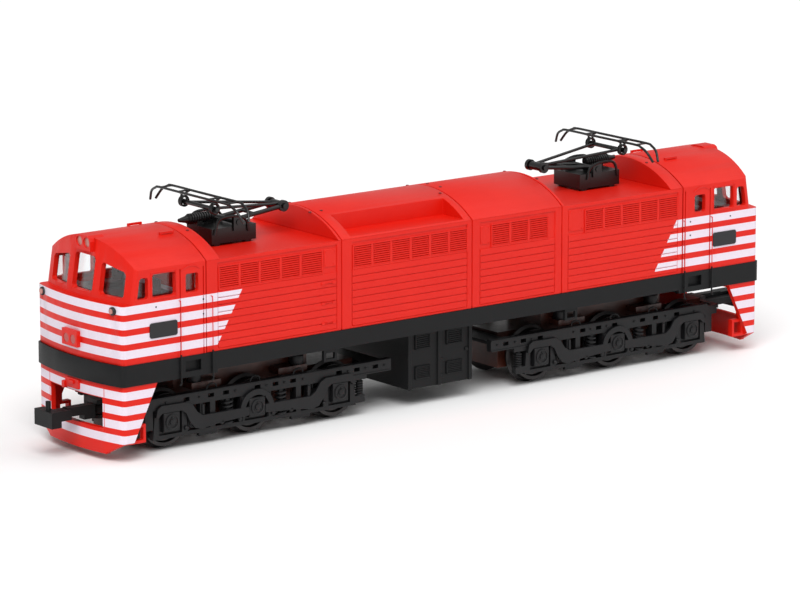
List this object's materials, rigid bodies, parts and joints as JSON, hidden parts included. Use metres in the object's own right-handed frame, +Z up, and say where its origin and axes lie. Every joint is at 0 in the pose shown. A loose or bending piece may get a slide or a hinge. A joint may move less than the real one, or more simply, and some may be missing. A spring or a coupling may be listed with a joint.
{
  "type": "electric locomotive model",
  "caption": "Scale model electric locomotive with a cab at each end, arched roof, single-arm pantographs and three-axle bogies that swivel and roll.",
  "frame": {"origin": "under the middle of the model, at the lowest point of the wheel flanges", "axes": "+X along the model towards cab b, +Y to the far side, +Z up"},
  "size_m": [0.2056, 0.0364, 0.0543],
  "materials": {
    "red_plastic": "satin gloss, printed pale lilac-white stripes",
    "black_plastic": "satin",
    "bogie_plastic": "matt",
    "plate_black": "satin",
    "pantograph_black": "gloss",
    "clear": "clear",
    "lamp_lens": "clear",
    "interior": "matt",
    "gear_housing": "copper brown, satin",
    "wheel_steel": "turned",
    "weight": "plain",
    "pin_steel": "plain"
  },
  "bodies": {
    "body": {"hood_shell": "red_plastic", "hood_roof": "red_plastic", "deck_ribs": "red_plastic", "cab_a_shell": "red_plastic", "cab_b_shell": "red_plastic", "cab_a_glass": "clear", "cab_b_glass": "clear", "cab_a_interior": "interior", "cab_b_interior": "interior", "headlights": "red_plastic", "headlight_lenses": "lamp_lens", "nose_lamps": "red_plastic", "nose_lamp_lenses": "lamp_lens", "marker_lamps": "red_plastic", "number_plates": "plate_black", "roof_fittings": "red_plastic", "underframe": "black_plastic", "ballast_block": "weight", "equipment_box": "black_plastic", "pilot_a": "red_plastic", "pilot_b": "red_plastic", "footsteps": "red_plastic", "handrails": "black_plastic", "side_ladders": "black_plastic", "king_pins": "pin_steel", "panto_a_base": "pantograph_black", "panto_b_base": "pantograph_black"},
    "bogie_a": {"bogie_a_frame": "bogie_plastic", "bogie_a_gearbox": "gear_housing", "bogie_a_equalizers": "bogie_plastic", "bogie_a_springs": "bogie_plastic", "bogie_a_fittings": "bogie_plastic"},
    "bogie_b": {"bogie_b_frame": "bogie_plastic", "bogie_b_gearbox": "gear_housing", "bogie_b_equalizers": "bogie_plastic", "bogie_b_springs": "bogie_plastic", "bogie_b_fittings": "bogie_plastic"},
    "panto_a_lower_arm": {"panto_a_lower_arm": "pantograph_black"},
    "panto_a_upper_arm": {"panto_a_upper_arm": "pantograph_black"},
    "panto_a_head": {"panto_a_head": "pantograph_black"},
    "panto_b_lower_arm": {"panto_b_lower_arm": "pantograph_black"},
    "panto_b_upper_arm": {"panto_b_upper_arm": "pantograph_black"},
    "panto_b_head": {"panto_b_head": "pantograph_black"},
    "wheelset_a1": {"wheelset_a1": "wheel_steel"},
    "wheelset_a2": {"wheelset_a2": "wheel_steel"},
    "wheelset_a3": {"wheelset_a3": "wheel_steel"},
    "wheelset_b1": {"wheelset_b1": "wheel_steel"},
    "wheelset_b2": {"wheelset_b2": "wheel_steel"},
    "wheelset_b3": {"wheelset_b3": "wheel_steel"},
    "coupler_a": {"coupler_a": "black_plastic"},
    "coupler_b": {"coupler_b": "black_plastic"}
  },
  "joints": [
    {"name": "bogie_a_swivel", "type": "hinge", "parent": "body", "child": "bogie_a", "pos_m": [-0.053, 0, 0.0146], "axis": [0, 0, 1], "range_deg": [-7, 7]},
    {"name": "axle_a1_roll", "type": "hinge", "parent": "bogie_a", "child": "wheelset_a1", "pos_m": [-0.0764, 0, 0.0068], "axis": [0, 1, 0], "continuous": true},
    {"name": "axle_a2_roll", "type": "hinge", "parent": "bogie_a", "child": "wheelset_a2", "pos_m": [-0.053, 0, 0.0068], "axis": [0, 1, 0], "continuous": true},
    {"name": "axle_a3_roll", "type": "hinge", "parent": "bogie_a", "child": "wheelset_a3", "pos_m": [-0.0296, 0, 0.0068], "axis": [0, 1, 0], "continuous": true},
    {"name": "coupler_a_swing", "type": "hinge", "parent": "bogie_a", "child": "coupler_a", "pos_m": [-0.0875, 0, 0.0094], "axis": [0, 0, 1], "range_deg": [-8, 8]},
    {"name": "panto_a_raise", "type": "hinge", "parent": "body", "child": "panto_a_lower_arm", "pos_m": [-0.0525, 0, 0.0477], "axis": [0, -1, 0], "range_deg": [0, 45]},
    {"name": "panto_a_knee", "type": "hinge", "parent": "panto_a_lower_arm", "child": "panto_a_upper_arm", "pos_m": [-0.0381, 0, 0.0493], "axis": [0, -1, 0], "range_deg": [-80.6, 0.5]},
    {"name": "panto_a_head_tilt", "type": "hinge", "parent": "panto_a_upper_arm", "child": "panto_a_head", "pos_m": [-0.0596, 0, 0.0516], "axis": [0, -1, 0], "range_deg": [-0.5, 35.6]},
    {"name": "bogie_b_swivel", "type": "hinge", "parent": "body", "child": "bogie_b", "pos_m": [0.053, 0, 0.0146], "axis": [0, 0, 1], "range_deg": [-7, 7]},
    {"name": "axle_b1_roll", "type": "hinge", "parent": "bogie_b", "child": "wheelset_b1", "pos_m": [0.0764, 0, 0.0068], "axis": [0, 1, 0], "continuous": true},
    {"name": "axle_b2_roll", "type": "hinge", "parent": "bogie_b", "child": "wheelset_b2", "pos_m": [0.053, 0, 0.0068], "axis": [0, 1, 0], "continuous": true},
    {"name": "axle_b3_roll", "type": "hinge", "parent": "bogie_b", "child": "wheelset_b3", "pos_m": [0.0296, 0, 0.0068], "axis": [0, 1, 0], "continuous": true},
    {"name": "coupler_b_swing", "type": "hinge", "parent": "bogie_b", "child": "coupler_b", "pos_m": [0.0875, 0, 0.0094], "axis": [0, 0, 1], "range_deg": [-8, 8]},
    {"name": "panto_b_raise", "type": "hinge", "parent": "body", "child": "panto_b_lower_arm", "pos_m": [0.0525, 0, 0.0477], "axis": [0, 1, 0], "range_deg": [0, 45]},
    {"name": "panto_b_knee", "type": "hinge", "parent": "panto_b_lower_arm", "child": "panto_b_upper_arm", "pos_m": [0.0381, 0, 0.0493], "axis": [0, 1, 0], "range_deg": [-80.6, 0.5]},
    {"name": "panto_b_head_tilt", "type": "hinge", "parent": "panto_b_upper_arm", "child": "panto_b_head", "pos_m": [0.0596, 0, 0.0516], "axis": [0, 1, 0], "range_deg": [-0.5, 35.6]}
  ],
  "couplings": [
    {"joint": "panto_a_knee", "follows": "panto_a_raise", "ratio": -1.78},
    {"joint": "panto_a_head_tilt", "follows": "panto_a_raise", "ratio": 0.78},
    {"joint": "panto_b_knee", "follows": "panto_b_raise", "ratio": -1.78},
    {"joint": "panto_b_head_tilt", "follows": "panto_b_raise", "ratio": 0.78}
  ]
}
